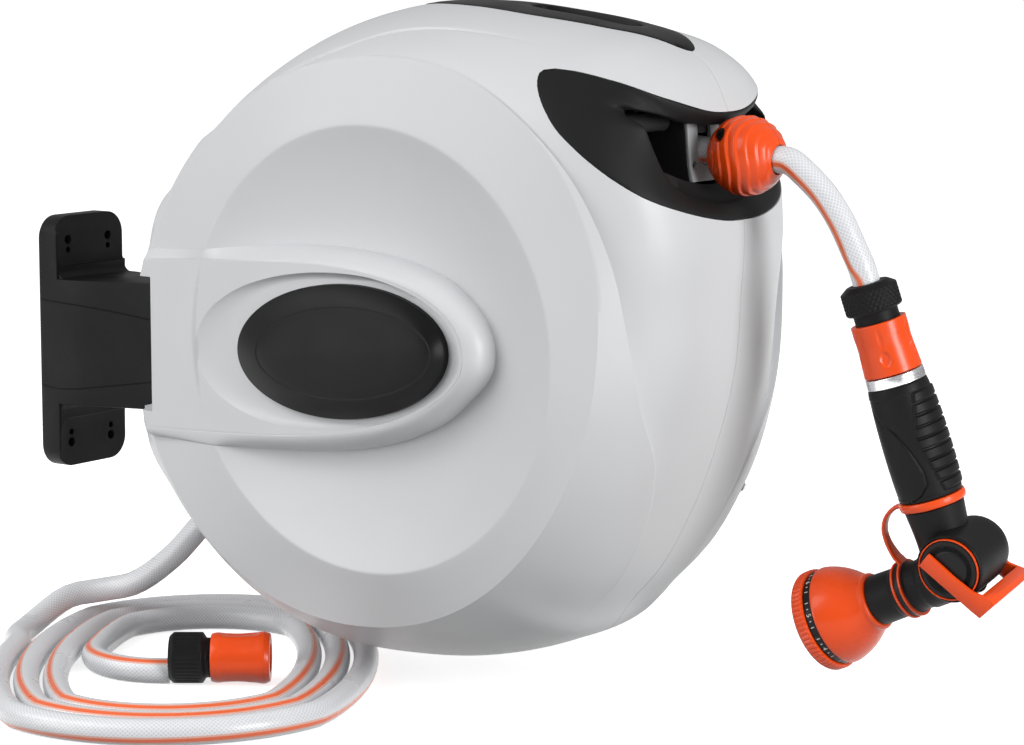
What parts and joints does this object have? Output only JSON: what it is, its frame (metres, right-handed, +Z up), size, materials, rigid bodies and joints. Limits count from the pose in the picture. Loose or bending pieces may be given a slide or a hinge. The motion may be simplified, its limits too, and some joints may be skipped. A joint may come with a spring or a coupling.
{
  "type": "hose reel",
  "caption": "Wall-mounted enclosed hose reel that swings on its bracket, with a spring drum, level-wind, spray gun and coiled lead-in hose.",
  "frame": {"origin": "centre of the wall bracket's back face, on the wall", "axes": "+X away from the wall, +Y towards the right side seen from the wall, +Z up; the drum turns about Y"},
  "size_m": [0.6849, 0.3866, 0.4252],
  "materials": {
    "light_shell": "satin",
    "black_plastic": "fine texture",
    "dark_plastic": "satin",
    "orange_plastic": "satin",
    "silver_trim": "satin",
    "steel": "brushed",
    "brass": "turned",
    "nylon": "moulded",
    "guide_grey": "moulded",
    "hose": "smooth"
  },
  "bodies": {
    "bracket": {"wall_bracket": "black_plastic", "swivel_pin": "steel"},
    "casing": {"left_shell": "light_shell", "right_shell": "light_shell", "left_cap": "black_plastic", "right_cap": "black_plastic", "mouth_trim": "black_plastic", "handle_insert": "black_plastic", "casing_screw_1": "steel", "casing_screw_2": "steel", "casing_screw_3": "steel", "casing_screw_4": "steel", "axle": "steel", "spring_arbor": "steel", "guide_rod": "black_plastic", "left_guide_bearing": "nylon", "right_guide_bearing": "nylon", "lead_gland": "black_plastic", "lead_hose": "hose", "lead_coil": "hose", "lead_nut": "black_plastic", "lead_connector": "orange_plastic"},
    "drum": {"drum_core": "nylon", "left_flange": "nylon", "right_flange": "nylon", "left_bush": "brass", "right_bush": "brass", "inner_wraps": "hose", "outer_wraps": "hose", "ratchet_wheel": "steel", "drum_gear": "nylon", "spring_housing": "nylon", "spring_cover": "nylon", "spiral_spring": "steel"},
    "idler": {"idler_gear": "nylon"},
    "screw": {"lead_screw": "steel"},
    "carriage": {"hose_guide": "guide_grey", "hose_run": "hose", "near_ball_half": "orange_plastic", "far_ball_half": "orange_plastic", "ball_screw": "steel", "hose_end": "hose", "hose_nut": "black_plastic", "connector_core": "dark_plastic"},
    "pawl": {"pawl": "steel"},
    "sleeve": {"connector_sleeve": "orange_plastic"},
    "gun": {"silver_ring": "silver_trim", "grip": "black_plastic", "hose_strap": "orange_plastic", "valve_body": "black_plastic", "spray_bell": "orange_plastic"},
    "lever": {"flow_lever": "orange_plastic", "valve_spindle": "dark_plastic"},
    "dial": {"pattern_band": "dark_plastic", "spray_bezel": "orange_plastic", "spray_plate": "dark_plastic"}
  },
  "joints": [
    {"name": "casing_swivel", "type": "hinge", "parent": "bracket", "child": "casing", "pos_m": [0.12, 0, 0], "axis": [0, 0, 1], "range_deg": [-80, 80]},
    {"name": "drum_spin", "type": "hinge", "parent": "casing", "child": "drum", "pos_m": [0.332, 0, 0.028], "axis": [0, 1, 0], "range_deg": [-990, 990]},
    {"name": "idler_spin", "type": "hinge", "parent": "casing", "child": "idler", "pos_m": [0.41346, -0.0785, 0.08939], "axis": [0, 1, 0], "range_deg": [-1415, 1415]},
    {"name": "screw_spin", "type": "hinge", "parent": "casing", "child": "screw", "pos_m": [0.46138, 0, 0.12549], "axis": [0, 1, 0], "range_deg": [-3301, 3301]},
    {"name": "carriage_traverse", "type": "slide", "parent": "casing", "child": "carriage", "axis": [0, 1, 0], "range_m": [-0.0454, 0.0454]},
    {"name": "pawl_swing", "type": "hinge", "parent": "casing", "child": "pawl", "pos_m": [0.2706, -0.062, 0.0014], "axis": [0, 1, 0], "range_deg": [-43, 8]},
    {"name": "sleeve_slide", "type": "slide", "parent": "carriage", "child": "sleeve", "axis": [-0.2595, -0.1547, 0.9533], "range_m": [0, 0.004], "stiffness_N_per_m": 400},
    {"name": "nozzle_swivel", "type": "hinge", "parent": "carriage", "child": "gun", "pos_m": [0.6023, 0.004, 0.0748], "axis": [0.2595, 0.1547, -0.9533], "continuous": true},
    {"name": "lever_turn", "type": "hinge", "parent": "gun", "child": "lever", "pos_m": [0.65465, 0.03017, -0.08136], "axis": [-0.083, 0.987, 0.1376], "range_deg": [-80, 0]},
    {"name": "dial_turn", "type": "hinge", "parent": "gun", "child": "dial", "pos_m": [0.65907, 0.03124, -0.08632], "axis": [-0.9106, -0.019, -0.4128], "continuous": true}
  ],
  "couplings": [
    {"joint": "idler_spin", "follows": "drum_spin", "ratio": -1.4286},
    {"joint": "screw_spin", "follows": "drum_spin", "ratio": 3.3333},
    {"joint": "carriage_traverse", "follows": "drum_spin", "m_per_rad": 0.0026261}
  ]
}
